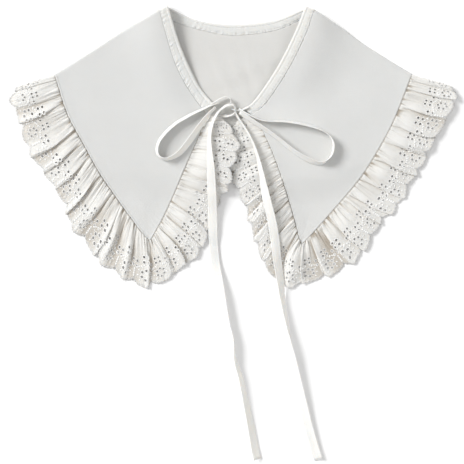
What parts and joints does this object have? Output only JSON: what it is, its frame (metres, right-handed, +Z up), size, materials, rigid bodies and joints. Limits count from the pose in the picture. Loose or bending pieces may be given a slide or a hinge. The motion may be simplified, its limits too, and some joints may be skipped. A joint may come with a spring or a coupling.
{
  "type": "lace collar",
  "caption": "Detachable lace collar laid flat: pointed fronts folded over a back, a gathered eyelet ruffle round the edge, and a bound neck with tape ties in a bow.",
  "frame": {"origin": "on the back's underside, on the table, below the middle of the neck opening", "axes": "+Z up from the table, +X to the right and +Y towards the back of the neck as the collar lies"},
  "size_m": [0.491, 0.4978, 0.0176],
  "materials": {
    "cotton_panel": "smooth matt off-white cotton lawn",
    "eyelet_ruffle": "matt off-white cotton with eyelet embroidery and satin stitch",
    "bias_tape": "matt off-white bias-cut cotton, edge-stitched"
  },
  "bodies": {
    "root": {"back": "cotton_panel", "front_left": "cotton_panel", "front_right": "cotton_panel", "ruffle_back": "eyelet_ruffle", "ruffle_left": "eyelet_ruffle", "ruffle_right": "eyelet_ruffle", "binding_back": "bias_tape", "binding_left": "bias_tape", "binding_right": "bias_tape", "bow_knot": "bias_tape", "bow_loop_left": "bias_tape", "bow_loop_right": "bias_tape", "tie_left": "bias_tape", "tie_right": "bias_tape"}
  },
  "joints": []
}
